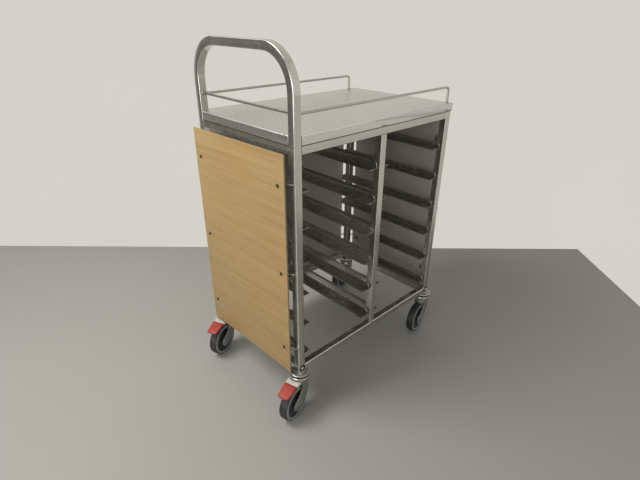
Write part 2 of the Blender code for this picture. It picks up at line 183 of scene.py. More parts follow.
def make_stage():
    """The room, the surround, and three soft lights of a slightly warm white."""
    make_room()
    make_world()
    area_light("ceiling", (-1.5, 0.7, 2.6), (0.0, 0.0, 0.5), (1.2, 1.2), 38.0, (1.0, 0.97, 0.91))
    area_light("side", (-3.5, -0.4, 1.1), (-0.3, 0.0, 0.4), (2.4, 1.6), 50.0, (1.0, 0.98, 0.93))
    area_light("front", (-0.4, -2.8, 1.3), (0.0, 0.0, 0.5), (1.8, 1.4), 9.0, (1.0, 0.98, 0.93))
    view = bpy.context.scene.view_settings
    view.view_transform = "Standard"
    view.exposure = 0.0


# ---------------------------------------------------------------- materials

def start_material(name):
    """A node material, its node tree and its main shader."""
    made = bpy.data.materials.new(name)
    made.use_nodes = True
    return made, made.node_tree, made.node_tree.nodes["Principled BSDF"]


def add_node(tree, kind, settings=None, **inputs):
    """A shader node; each input is a constant or another node's output."""
    made = tree.nodes.new(kind)
    for key, value in (settings or {}).items():
        setattr(made, key, value)
    for key, value in inputs.items():
        socket = made.inputs[key.replace("_", " ")]
        if isinstance(value, bpy.types.NodeSocket):
            tree.links.new(value, socket)
        else:
            socket.default_value = value
    return made


def stretched(tree, scale):
    """Object coordinates, stretched by a scale for each axis."""
    where = add_node(tree, "ShaderNodeTexCoord")
    spread = add_node(tree, "ShaderNodeMapping", Vector=where.outputs["Object"], Scale=scale)
    return spread.outputs["Vector"]


def noise(tree, scale, detail=3.0, rough=0.5, distort=0.0):
    """Noise between 0 and 1, with so many blobs a metre along each axis."""
    if not isinstance(scale, tuple):
        scale = (scale, scale, scale)
    made = add_node(
        tree, "ShaderNodeTexNoise", Vector=stretched(tree, scale), Scale=1.0, Detail=detail,
        Roughness=rough, Distortion=distort,
    )
    return made.outputs["Fac"]


def remap(tree, value, low, high, start=0.3, end=0.7):
    """A value that runs from low to high while another runs from start to end."""
    made = add_node(
        tree, "ShaderNodeMapRange", Value=value, From_Min=start, From_Max=end, To_Min=low, To_Max=high
    )
    return made.outputs["Result"]


def mix(tree, factor, first, second):
    """One colour where the factor is 0 and the other where it is 1."""
    colours = [c if isinstance(c, bpy.types.NodeSocket) else (*c, 1.0) for c in (first, second)]
    made = add_node(tree, "ShaderNodeMixRGB", Fac=factor, Color1=colours[0], Color2=colours[1])
    return made.outputs["Color"]


def maths(tree, operation, first, second=0.0):
    """Arithmetic on two values, either of them a constant or a node's output."""
    made = add_node(tree, "ShaderNodeMath", {"operation": operation})
    for socket, value in zip(made.inputs, (first, second)):
        if isinstance(value, bpy.types.NodeSocket):
            tree.links.new(value, socket)
        else:
            socket.default_value = value
    return made.outputs["Value"]


def bump(tree, height, depth, strength):
    """A normal tilted by a height pattern."""
    made = add_node(tree, "ShaderNodeBump", Height=height, Distance=depth, Strength=strength)
    return made.outputs["Normal"]


def finish(tree, shader, **inputs):
    """Sets the main shader's inputs, each to a constant, a colour or a node's output."""
    for key, value in inputs.items():
        socket = shader.inputs[key.replace("_", " ")]
        if isinstance(value, bpy.types.NodeSocket):
            tree.links.new(value, socket)
        elif hasattr(value, "__len__"):
            socket.default_value = (*value, 1.0)
        else:
            socket.default_value = value


def floor_material():
    """Pale, slightly uneven floor covering."""
    made, tree, shader = start_material("floor")
    tone = noise(tree, 1.2, 4.0)
    colour = mix(tree, tone, (0.470, 0.468, 0.450), (0.510, 0.508, 0.490))
    finish(tree, shader, Base_Color=colour, Roughness=0.50, Specular_IOR_Level=0.3)
    return made


def softer_as_light(tree):
    """A strength that is lower for what the surround lights than for what mirrors or shows it."""
    lit = add_node(tree, "ShaderNodeLightPath").outputs["Is Diffuse Ray"]
    return remap(tree, lit, 1.0, FILL, 0.0, 1.0)


def wall_material():
    """Pale paint that glows softly, and is clear from behind."""
    made, tree, shader = start_material("pale_wall")
    tone = noise(tree, 0.8, 2.0)
    darker, lighter = [tuple(part * change for part in WALL_COLOUR) for change in (0.97, 1.03)]
    colour = mix(tree, tone, darker, lighter)
    glow = add_node(tree, "ShaderNodeEmission", Color=colour, Strength=softer_as_light(tree))
    clear = add_node(tree, "ShaderNodeBsdfTransparent")
    behind = add_node(tree, "ShaderNodeNewGeometry").outputs["Backfacing"]
    both = add_node(tree, "ShaderNodeMixShader", Fac=behind)
    tree.links.new(glow.outputs["Emission"], both.inputs[1])
    tree.links.new(clear.outputs["BSDF"], both.inputs[2])
    tree.links.new(both.outputs["Shader"], tree.nodes["Material Output"].inputs["Surface"])
    tree.nodes.remove(shader)
    return made


def grain_scale(axis, along, across):
    """A noise scale for each axis: one along the grain's axis and one across it."""
    scale = [across, across, across]
    scale["XYZ".index(axis)] = along
    return tuple(scale)


def on_edge(tree):
    """1 on rounded edges, where the surface turns from one axis to another, and 0 on flats; it places steel's
    painted edge highlight.
    """
    normal = add_node(tree, "ShaderNodeTexCoord").outputs["Normal"]
    parts = add_node(tree, "ShaderNodeSeparateXYZ", Vector=normal)
    sides = [maths(tree, "ABSOLUTE", parts.outputs[axis]) for axis in "XYZ"]
    widest = maths(tree, "MAXIMUM", maths(tree, "MAXIMUM", sides[0], sides[1]), sides[2])
    return remap(tree, widest, 1.0, 0.0, 0.86, 0.97)


def steel_material(name, axis, dark, light, rough, grain=900.0, painted_edge_highlight=True):
    """Satin stainless: fine grain along one axis, soft smudges, light scuffs, and a painted highlight on its
    rounded edges.
    """
    made, tree, shader = start_material(name)
    fine = noise(tree, grain_scale(axis, 6.0, grain), 2.0)
    coarse = noise(tree, grain_scale(axis, 2.0, grain / 7), 3.0)
    smudge = noise(tree, 9.0, 4.0, 0.6)
    scuff = noise(tree, 70.0, 5.0, 0.7, 0.6)
    lines = maths(tree, "MULTIPLY", maths(tree, "ADD", fine, coarse), 0.5)
    colour = mix(tree, remap(tree, lines, 0.0, 1.0, 0.28, 0.72), dark, light)
    stain = remap(tree, smudge, 0.0, 0.16, 0.5, 0.75)
    colour = mix(tree, stain, colour, tuple(part * 0.72 for part in dark))
    # Painted highlight: rounded edges get a lighter colour in place of the light they catch.
    if painted_edge_highlight:
        colour = mix(tree, on_edge(tree), colour, tuple(min(0.92, part * 1.7) for part in light))
    roughness = remap(tree, lines, rough - 0.04, rough + 0.05, 0.3, 0.7)
    roughness = maths(tree, "ADD", roughness, remap(tree, smudge, -0.04, 0.07))
    roughness = maths(tree, "ADD", roughness, remap(tree, scuff, 0.0, 0.12, 0.58, 0.75))
    height = maths(tree, "ADD", lines, maths(tree, "MULTIPLY", smudge, 0.2))
    finish(
        tree, shader, Base_Color=colour, Roughness=roughness, Metallic=1.0,
        Normal=bump(tree, height, 0.00018, 0.26),
    )
    return made


def weld_material():
    """Bright weld metal with straw and blue heat colour."""
    made, tree, shader = start_material("weld_metal")
    heat = noise(tree, 160.0, 3.0)
    colour = mix(tree, remap(tree, heat, 0.0, 1.0, 0.4, 0.6), (0.33, 0.32, 0.30), (0.27, 0.25, 0.20))
    colour = mix(tree, remap(tree, noise(tree, 90.0), 0.0, 0.5, 0.6, 0.75), colour, (0.20, 0.21, 0.26))
    finish(
        tree, shader, Base_Color=colour, Roughness=remap(tree, heat, 0.22, 0.42), Metallic=1.0,
        Normal=bump(tree, noise(tree, 900.0, 2.0), 0.0003, 0.5),
    )
    return made


def oak_material(axis):
    """Oak-print laminate with its grain along one axis."""
    made, tree, shader = start_material(f"oak_laminate_{axis}")
    drift = noise(tree, grain_scale(axis, 1.2, 9.0), 2.0)
    bands = noise(tree, grain_scale(axis, 0.9, 26.0), 4.0, 0.62, 0.25)
    streaks = noise(tree, grain_scale(axis, 4.5, 170.0), 4.0, 0.6, 0.2)
    pores = noise(tree, grain_scale(axis, 38.0, 950.0), 2.0, 0.5)
    colour = mix(tree, remap(tree, bands, 0.0, 1.0, 0.32, 0.68), (0.365, 0.236, 0.096), (0.435, 0.295, 0.129))
    colour = mix(tree, remap(tree, streaks, 0.0, 0.60, 0.42, 0.72), colour, (0.475, 0.336, 0.164))
    colour = mix(tree, remap(tree, streaks, 0.45, 0.0, 0.28, 0.46), colour, (0.295, 0.176, 0.066))
    colour = mix(tree, remap(tree, pores, 0.0, 0.35, 0.60, 0.75), colour, (0.230, 0.134, 0.052))
    colour = mix(tree, remap(tree, drift, 0.0, 0.25, 0.35, 0.70), colour, (0.430, 0.266, 0.102))
    roughness = remap(tree, noise(tree, 14.0, 4.0), 0.36, 0.50)
    finish(
        tree, shader, Base_Color=colour, Roughness=roughness,
        Normal=bump(tree, pores, 0.00015, 0.35),
    )
    return made


def backing_material():
    """The boards' plain grey inner face."""
    made, tree, shader = start_material("grey_backing")
    tone = noise(tree, 22.0, 4.0)
    colour = mix(tree, tone, (0.500, 0.496, 0.450), (0.620, 0.616, 0.560))
    finish(
        tree, shader, Base_Color=colour, Roughness=0.55,
        Normal=bump(tree, noise(tree, 500.0), 0.0002, 0.3),
    )
    return made


def edge_band_material():
    """The boards' light edge band, soiled in places."""
    made, tree, shader = start_material("edge_band")
    streak = noise(tree, 60.0, 4.0)
    colour = mix(tree, streak, (0.360, 0.258, 0.135), (0.480, 0.365, 0.215))
    dirt_and_shade = remap(tree, noise(tree, 25.0, 5.0), 0.0, 0.5, 0.58, 0.75)
    colour = mix(tree, dirt_and_shade, colour, (0.20, 0.14, 0.09))
    finish(tree, shader, Base_Color=colour, Roughness=0.48)
    return made


def moulded_material(name, dark, light, rough, scuffs=(0.5, 0.5, 0.48), scuffed=0.3, metallic=0.0):
    """Plastic, rubber or dull metal with mottling, fine texture and worn patches."""
    made, tree, shader = start_material(name)
    mottle = noise(tree, 55.0, 4.0)
    wear = noise(tree, 190.0, 5.0, 0.65, 0.4)
    colour = mix(tree, remap(tree, mottle, 0.0, 1.0), dark, light)
    colour = mix(tree, remap(tree, wear, 0.0, scuffed, 0.52, 0.70), colour, scuffs)
    finish(
        tree, shader, Base_Color=colour, Roughness=remap(tree, mottle, rough - 0.06, rough + 0.10),
        Metallic=metallic, Normal=bump(tree, noise(tree, 1400.0, 2.0), 0.0002, 0.4),
    )
    return made


def paint_shade_below(material, low, high, dirt_and_shade):
    """Painted shade on a material's lower parts, between two heights in the piece's own frame."""
    tree = material.node_tree
    socket = tree.nodes["Principled BSDF"].inputs["Base Color"]
    colour = socket.links[0].from_socket
    where = add_node(tree, "ShaderNodeTexCoord").outputs["Object"]
    height = add_node(tree, "ShaderNodeSeparateXYZ", Vector=where).outputs["Z"]
    shade_mask = remap(tree, height, 0.85, 0.0, low, high)
    tree.links.new(mix(tree, shade_mask, colour, dirt_and_shade), socket)


# The hoop's bends and top bar are the same tube as its legs; their lighter steel is painted light: light
# caught by the top bar and a painted highlight on the bends. Their grain directions are real.
BEND = steel_material("satin_bend_painted_highlight", "X", (0.56, 0.55, 0.52), (0.70, 0.69, 0.66), 0.20, 60.0, False)
HANDLE = steel_material("satin_handle_painted_light", "Y", (0.62, 0.61, 0.58), (0.72, 0.71, 0.68), 0.22)
TUBES = {
    axis: steel_material(f"satin_tube_{axis}", axis, (0.49, 0.48, 0.445), (0.56, 0.55, 0.515), 0.24)
    for axis in "XYZ"
}
SHEET_TOP = steel_material("satin_sheet_x", "X", (0.60, 0.59, 0.56), (0.69, 0.68, 0.65), 0.27)
SHEET_RUN = steel_material("satin_sheet_y", "Y", (0.46, 0.455, 0.43), (0.53, 0.52, 0.49), 0.26)
BAR = steel_material("bright_bar", "X", (0.43, 0.42, 0.39), (0.54, 0.53, 0.50), 0.22, 500.0, False)
WELD = weld_material()
OAK = oak_material("X")
BACKING = backing_material()
EDGE_BAND = edge_band_material()
ZINC = moulded_material(
    "zinc_pressing", (0.25, 0.25, 0.235), (0.38, 0.38, 0.36), 0.38, (0.46, 0.46, 0.44), 0.4, 0.75
)
RING = moulded_material("grey_rim", (0.30, 0.31, 0.30), (0.38, 0.39, 0.38), 0.50, (0.12, 0.12, 0.11), 0.4)
GUARD = moulded_material("thread_guard", (0.020, 0.022, 0.028), (0.040, 0.043, 0.055), 0.42)
RUBBER = moulded_material(
    "worn_rubber", (0.008, 0.008, 0.008), (0.024, 0.024, 0.022), 0.50, (0.080, 0.075, 0.066), 0.45
)


RED = moulded_material(
    "red_pedal", (0.40, 0.035, 0.032), (0.52, 0.060, 0.052), 0.40, (0.62, 0.22, 0.20), 0.30
)
# The pedal's front lip and lower sides are painted darker: painted shade.
paint_shade_below(RED, 0.1300, 0.1335, (0.060, 0.006, 0.008))
SCREW = moulded_material(
    "browned_screw", (0.060, 0.045, 0.028), (0.14, 0.11, 0.075), 0.30, (0.30, 0.27, 0.20), 0.4, 0.9
)
# Near-black paint for painted shade in gaps and grooves, and for the painted dark reflection round the foot
# bolts.
SHADE_BLACK = moulded_material(
    "painted_shade_black", (0.010, 0.010, 0.009), (0.022, 0.020, 0.017), 0.65, (0.05, 0.045, 0.04), 0.3
)
CUP = moulded_material(
    "zinc_cup", (0.42, 0.42, 0.39), (0.58, 0.58, 0.54), 0.28, (0.24, 0.22, 0.18), 0.45, 0.9
)
PALE = moulded_material("pale_cover", (0.60, 0.59, 0.53), (0.72, 0.71, 0.65), 0.42, (0.35, 0.34, 0.30), 0.3)


# ---------------------------------------------------------------- mesh tools

def add_piece(name, shape, materials, body, replaces=(), angle=35.0, place=None):
    """A finished piece from a bmesh, riding on a body."""
    bmesh.ops.remove_doubles(shape, verts=shape.verts, dist=0.000002)
    mesh = bpy.data.meshes.new(name)
    shape.to_mesh(mesh)
    shape.free()
    for material in materials:
        mesh.materials.append(material)
    mesh.shade_smooth()
    mesh.set_sharp_from_angle(angle=math.radians(angle))
    piece = bpy.data.objects.new(name, mesh)
    bpy.context.scene.collection.objects.link(piece)
    if place is not None:
        piece.matrix_world = place
    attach(piece, body)
    if replaces:
        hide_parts(*replaces)
    return piece


def soften(piece, width, segments, angle=35.0):
    """Rounds a piece's sharp edges."""
    edge = piece.modifiers.new("edges", "BEVEL")
    edge.width = width
    edge.segments = segments
    edge.limit_method = "ANGLE"
    edge.angle_limit = math.radians(angle)
    edge.harden_normals = True


def arc(centre, radius, start, end, steps):
    """Points round a centre, from one angle to another in degrees."""
    angles = [math.radians(start + (end - start) * step / steps) for step in range(steps + 1)]
    return [(centre[0] + radius * math.cos(a), centre[1] + radius * math.sin(a)) for a in angles]


def rounded_square(size, radius, steps=4):
    """A closed outline with the same radius at each corner."""
    inner = size / 2 - radius
    outline = []
    for turn, (x, y) in enumerate([(1, 1), (-1, 1), (-1, -1), (1, -1)]):
        outline += arc((x * inner, y * inner), radius, 90.0 * turn, 90.0 * turn + 90.0, steps)
    return outline


def circle(radius, steps):
    """A closed outline of so many points."""
    return arc((0.0, 0.0), radius, 0.0, 360.0 * (steps - 1) / steps, steps - 1)


def sweep(shape, route, outline, up, swell=None):
    """An outline carried along a route in one plane, with mitred corners and flat ends."""
    route = [Vector(point) for point in route]
    up = Vector(up).normalized()
    rings = []
    for index, point in enumerate(route):
        before = (point - route[index - 1]).normalized() if index else None
        after = (route[index + 1] - point).normalized() if index < len(route) - 1 else None
        along = ((before or after) + (after or before)).normalized()
        stretch = 1.0 / max(0.3, along.dot(after or before))
        side = up.cross(along) * stretch
        scale = swell(index) if swell else 1.0
        rings.append([shape.verts.new(point + (side * x + up * y) * scale) for x, y in outline])
    count = len(outline)
    for first, second in zip(rings, rings[1:]):
        for i in range(count):
            j = (i + 1) % count
            shape.faces.new((first[i], first[j], second[j], second[i]))
    shape.faces.new(list(reversed(rings[0])))
    shape.faces.new(rings[-1])
    return shape


def lathe(shape, profile, steps, place=None):
    """A profile of (radius, height) turned about Z; a zero radius closes it on the axis."""
    place = place or Matrix.Identity(4)
    rings = []
    for radius, height in profile:
        if radius < 1e-7:
            rings.append([shape.verts.new(place @ Vector((0.0, 0.0, height)))])
            continue
        turns = [math.tau * step / steps for step in range(steps)]
        spots = [Vector((radius * math.cos(a), radius * math.sin(a), height)) for a in turns]
        rings.append([shape.verts.new(place @ spot) for spot in spots])
    for first, second in zip(rings, rings[1:]):
        for i in range(steps):
            j = (i + 1) % steps
            a, b = first[i % len(first)], first[j % len(first)]
            c, d = second[j % len(second)], second[i % len(second)]
            corners = list(dict.fromkeys((a, b, c, d)))
            shape.faces.new(corners)
    bmesh.ops.recalc_face_normals(shape, faces=shape.faces)
    return shape


def cuboid(shape, low, high):
    """A box between two corners."""
    low, high = Vector(low), Vector(high)
    size = high - low
    place = Matrix.Translation((low + high) / 2) @ Matrix.Diagonal((*size, 1.0))
    bmesh.ops.create_cube(shape, size=1.0, matrix=place)


def turn_to(direction):
    """A turn that takes +Z to a direction."""
    return Vector((0.0, 0.0, 1.0)).rotation_difference(Vector(direction)).to_matrix().to_4x4()


def weld_bead(shape, start, end, radius):
    """A rippled weld run between two points."""
    start, end = Vector(start), Vector(end)
    run = end - start
    count = max(8, int(run.length / (radius * 0.35)))
    up = run.orthogonal()
    spots = [start + run * step / count for step in range(count + 1)]
    jitter = [dice.uniform(0.9, 1.1) for _ in spots]

    def swell(index):
        closed = min(1.0, 0.45 + min(index, count - index) * 0.28)
        return closed * jitter[index] * (1.0 + 0.14 * math.sin(index * math.tau / 4.0))

    sweep(shape, spots, circle(radius, 8), up, swell)


# ---------------------------------------------------------------- frame

def dress_tubes():
    """The straight tubes keep their CAD shape, with grain along each one."""
    for name, node in NODES.items():
        if name.startswith(("rail_", "post_")):
            low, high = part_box(name)
            size = high - low
            axis = "XYZ"[max(range(3), key=lambda i: size[i])]
            dress(node, TUBES[axis])


def dress(node, material):
    """A CAD node's own material, with even shading over its facets."""
    node.data.materials.clear()
    node.data.materials.append(material)
    node.data.shade_smooth()
    join = node.modifiers.new("join", "WELD")
    join.merge_threshold = WELD_LIMIT
    even = node.modifiers.new("even", "WEIGHTED_NORMAL")
    even.weight = 100


def build_hoop():
    """The bent tube that is both the handle and the near posts, drawn solid and closed at its feet."""
    bend = HOOP_BEND - TUBE / 2
    top = HOOP_HIGH.z - TUBE / 2
    near, far = FRONT + TUBE / 2, BACK - TUBE / 2
    route = [(near, z) for z in (FOOT_Z, *LEG_STATIONS)]
    route += arc((near + bend, top - bend), bend, 180.0, 90.0, 22)
    route += [(MID_Y, top)]
    route += arc((far - bend, top - bend), bend, 90.0, 0.0, 22)
    route += [(far, z) for z in (*reversed(LEG_STATIONS), FOOT_Z)]
    x = LEFT + TUBE / 2
    shape = sweep(bmesh.new(), [(x, y, z) for y, z in route], rounded_square(TUBE, CORNER), (1, 0, 0))
    bmesh.ops.recalc_face_normals(shape, faces=shape.faces)
    for face in shape.faces:
        middle = face.calc_center_median()
        bent = middle.z > top - bend + 0.001
        level = near + bend < middle.y < far - bend
        face.material_index = 0 if not bent else 1 if level else 2
    # The top bar and bends take the lighter steel tones: painted light on one tube.
    add_piece("hoop", shape, [TUBES["Z"], HANDLE, BEND], "frame", ["hoop_frame"], 25.0)


def build_gallery():
    """Round bars with bent feet, and their weld rings."""
    welds = bmesh.new()
    for side in ("front", "back"):
        low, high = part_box(f"gallery_{side}")
        y, top = (low.y + high.y) / 2, high.z - ROD_R
        foot = high.x - ROD_R
        route = [(low.x, top)]
        route += arc((foot - ROD_BEND, top - ROD_BEND), ROD_BEND, 90.0, 0.0, 10)
        route += [(foot, low.z)]
        shape = sweep(bmesh.new(), [(x, y, z) for x, z in route], circle(ROD_R, 20), (0, 1, 0))
        add_piece(f"rail_bar_{side}", shape, [BAR], "frame", [f"gallery_{side}"], 50.0)
        weld_ring(welds, (foot, y, SHELF_Z), (0, 0, 1), ROD_R)
        weld_ring(welds, (low.x, y, top), (1, 0, 0), ROD_R)
    low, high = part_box("gallery_cross_bar")
    x, z = (low.x + high.x) / 2, (low.z + high.z) / 2
    shape = sweep(bmesh.new(), [(x, low.y, z), (x, high.y, z)], circle(ROD_R, 20), (0, 0, 1))
    add_piece("cross_bar", shape, [BAR], "frame", ["gallery_cross_bar"], 50.0)
    weld_ring(welds, (x, low.y, z), (0, 1, 0), ROD_R)
    weld_ring(welds, (x, high.y, z), (0, -1, 0), ROD_R)
    add_piece("gallery_welds", welds, [WELD], "frame", angle=60.0)


def weld_ring(shape, place, direction, radius):
    """A lumpy fillet where a bar meets a face."""
    spot = Matrix.Translation(place) @ turn_to(direction)
    steps = 20
    lumps = [1.0 + dice.uniform(-0.16, 0.16) for _ in range(steps)]
    profile = [(0.98, 0.0034), (1.18, 0.0026), (1.42, 0.0013), (1.62, 0.0)]
    rings = []
    for times, height in profile:
        ring = []
        for step, lump in enumerate(lumps):
            turn = math.tau * step / steps
            reach = radius + (radius * times - radius) * lump
            point = Vector((reach * math.cos(turn), reach * math.sin(turn), height * lump))
            ring.append(shape.verts.new(spot @ point))
        rings.append(ring)
    for first, second in zip(rings, rings[1:]):
        for i in range(steps):
            j = (i + 1) % steps
            shape.faces.new((first[j], first[i], second[i], second[j]))
    shape.faces.new(rings[0])
    shape.faces.new(list(reversed(rings[-1])))


def build_frame_welds():
    """Fillet runs in the corners where rails meet posts and runners meet posts."""
    shape = bmesh.new()
    half = TUBE / 2
    levels = (RAIL_TOP_Z, RAIL_LOW_Z)
    for y in (FRONT, BACK):
        inner = y + TUBE if y == FRONT else y - TUBE
        start, end = min(y, inner) + 0.004, max(y, inner) - 0.004
        for x in (LEFT + TUBE, RIGHT - TUBE, MID_X - half, MID_X + half):
            for z in levels:
                weld_bead(shape, (x, start, z), (x, end, z), WELD_R)
        for x in (LEFT + half, RIGHT - half):
            for z in levels:
                weld_bead(shape, (x - 0.009, inner, z), (x + 0.009, inner, z), WELD_R)
    lip = SHELF_LOW.z
    weld_bead(shape, (MID_X - 0.010, FRONT, lip), (MID_X + 0.008, FRONT, lip), 0.0026)
    weld_bead(shape, (RIGHT - 0.020, FRONT, lip), (RIGHT - 0.004, FRONT, lip), 0.0020)
    x, y = LEFT + TUBE, FRONT + 0.002
    weld_bead(shape, (x, y, SHELF_Z - 0.022), (x, y, SHELF_Z - 0.004), 0.0018)
    for name in NODES:
        if name.startswith("runner_"):
            low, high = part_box(name)
            side = name.split("_")[3]
            x = low.x if side == "left" else high.x
            for y in (FRONT + TUBE, BACK - TUBE):
                weld_bead(shape, (x, y, low.z + 0.003), (x, y, low.z + 0.018), 0.0010)
    add_piece("frame_welds", shape, [WELD], "frame", angle=60.0)


def build_foot_bolts():
    """Socket button-head bolts that lock the castor stems in the posts' feet."""
    shape, rings = bmesh.new(), bmesh.new()
    for x in (LEFT + TUBE / 2, RIGHT - TUBE / 2):
        for y, out in ((FRONT, -1.0), (BACK, 1.0)):
            place = Matrix.Translation((x, y, FOOT_Z + FOOT_BOLT_RISE)) @ turn_to((0.0, out, 0.0))
            # A thin near-black disc behind each bolt is painted shade and dark reflection on the post's foot.
            lathe(rings, [(0.0, 0.0), (0.0118, 0.0), (0.0116, 0.0008), (0.0, 0.0010)], 28, place)
            head = [(0.0, 0.0010), (0.0060, 0.0010), (0.0062, 0.0018), (0.0056, 0.0033), (0.0042, 0.0045)]
            head += [(0.0024, 0.0050), (0.0021, 0.0046), (0.0020, 0.0022), (0.0, 0.0020)]
            lathe(shape, head, 24, place)
    add_piece("foot_bolts", shape, [BAR], "frame", angle=30.0)
    add_piece("foot_bolt_shade_discs", rings, [SHADE_BLACK], "frame", angle=30.0)


# ---------------------------------------------------------------- boards

class Board:
    """A board's own frame: local X along its width, local Y out of its printed face."""

    def __init__(self, node, width, turn):
        low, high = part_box(node)
        self.node, self.width = node, width
        self.tall = high.z - low.z
        self.place = Matrix.Translation((low + high) / 2) @ Matrix.Rotation(math.radians(turn), 4, "Z")
        self.half = self.tall / 2 - SCREW_DROP
        reach = width / 2 - SCREW_INSET
        self.spots = [(x, z) for x in (-reach, reach) for z in (-self.half, 0.0, self.half)]

    def face(self):
        """Printed face outwards, plain grey inside, light band round the edge."""
        shape = bmesh.new()
        size = Vector((self.width, BOARD, self.tall)) / 2
        cuboid(shape, -size, size)
        bmesh.ops.bevel(shape, geom=shape.edges[:], offset=0.0009, segments=2, profile=0.5, affect="EDGES")
        for face in shape.faces:
            face.normal_update()
            facing = face.normal.y
            face.material_index = 0 if facing > 0.9 else 1 if facing < -0.9 else 2
        self.add("face", shape, [OAK, BACKING, EDGE_BAND], "laminate_board", [self.node], 25.0)

    def screws(self):
        """Pan-head screws in cup washers."""
        shape = bmesh.new()
        for x, z in self.spots:
            place = Matrix.Translation((x, BOARD / 2, z)) @ turn_to((0, 1, 0))
            washer = [(0.0, 0.0), (0.0060, 0.0), (0.0058, 0.0008), (0.0044, 0.0013), (0.0, 0.0013)]
            lathe(shape, washer, 24, place)
            head = [(0.0, 0.0011), (0.0039, 0.0011), (0.0040, 0.0019), (0.0035, 0.0029), (0.0023, 0.0036)]
            head += [(0.0010, 0.0038), (0.0008, 0.0025), (0.0, 0.0024)]
            lathe(shape, head, 24, place)
        self.add("screws", shape, [SCREW], "rod_steel", angle=30.0)

    def cleats(self, depth):
        """Angle cleats from the posts to the board: a plate level with the screw and a flange down."""
        shape = bmesh.new()
        inner = -BOARD / 2
        for x, z in self.spots:
            side = math.copysign(1.0, x)
            reach = depth(x)
            top, bottom = z + 0.0110, z + 0.0085
            plate = [(-0.012, 0.0), (-0.012, 0.0030), (0.0225, reach), (0.0450, reach), (0.0450, 0.006)]
            plate += [(0.0150, 0.0)]
            rows = []
            for height in (bottom, top):
                rows.append([shape.verts.new((x + side * v, inner - u, height)) for v, u in plate])
            link(shape, rows)
            cuboid(shape, (x - 0.012, inner - 0.0025, z - 0.0120), (x + 0.012, inner, z + 0.0100))
        bmesh.ops.recalc_face_normals(shape, faces=shape.faces)
        soften(self.add("cleats", shape, [TUBES["Z"]], "tube_steel", angle=30.0), 0.0004, 1)

    def add(self, part, shape, materials, slot, replaces=(), angle=35.0):
        """A piece of this board, in the board's own frame."""
        name = self.node.replace("panel", "board")
        return add_piece(f"{name}_{part}", shape, materials, "frame", replaces, angle, self.place)


def link(shape, rows):
    """Faces round two matching outlines, and their ends."""
    first, second = rows
    count = len(first)
    for i in range(count):
        j = (i + 1) % count
        shape.faces.new((first[i], first[j], second[j], second[i]))
    shape.faces.new(list(reversed(first)))
    shape.faces.new(second)


def build_boards():
    """The two end boards and the back board, each with its cleats' reach to the posts."""
    end_low, end_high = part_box("panel_right")
    end_width = end_high.y - end_low.y
    back_low, back_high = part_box("panel_back")
    left_low, left_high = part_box("panel_left")
    skew = math.radians(BOARD_SKEW)
    left_gap = LEFT - (left_low.x + left_high.x) / 2 - BOARD / 2
    boards = [
        (Board("panel_left", end_width, 90.0 + BOARD_SKEW), lambda x: left_gap + x * math.sin(skew)),
        (Board("panel_right", end_width, -90.0), lambda x: end_low.x - RIGHT),
        (Board("panel_back", back_high.x - back_low.x, 0.0), lambda x: back_low.y - BACK),
    ]
    for board, depth in boards:
        board.face()
        board.screws()
        board.cleats(depth)


# ---------------------------------------------------------------- worktop and runners

def dress_sheet():
    """The runners and the worktop keep their CAD shape; the runners' edges are rounded."""
    for name, node in NODES.items():
        if name.startswith("runner_"):
            join = node.modifiers.new("join", "WELD")
            join.merge_threshold = WELD_LIMIT
            soften(node, 0.00035, 2, 50.0)
            node.data.materials.clear()
            node.data.materials.append(SHEET_RUN)
    dress(NODES["top_shelf"], SHEET_TOP)


def build_shelf_shade_strips():
    """Near-black strips of painted shade: in the groove between the worktop's lip and the rails below it, and
    where the worktop's ends meet the hoop's legs.
    """
    shape = bmesh.new()
    low, high = SHELF_LOW.z - SHADE_STRIP_TALL, SHELF_LOW.z + 0.0003
    for y, out in ((FRONT, -1), (BACK, 1)):
        cuboid(shape, *ordered((LEFT + TUBE, y - out * 0.0001, low), (RIGHT, y - out * 0.004, high)))
    cuboid(shape, (LEFT + 0.0001, FRONT + TUBE, low), (LEFT + 0.004, BACK - TUBE, high))
    cuboid(shape, (RIGHT - 0.004, FRONT, low), (RIGHT - 0.0001, BACK, high))
    post = (LEFT + TUBE, LEFT + TUBE + 0.0004)
    for y in (FRONT, BACK - 0.003):
        cuboid(shape, (post[0], y, SHELF_LOW.z), (post[1], y + 0.003, SHELF_Z - 0.001))
    add_piece("worktop_shade_strip", shape, [SHADE_BLACK], "frame", angle=30.0)


def ordered(first, second):
    """The low and high corners of the box that two points span."""
    low = [min(a, b) for a, b in zip(first, second)]
    high = [max(a, b) for a, b in zip(first, second)]
    return low, high


# ---------------------------------------------------------------- castors

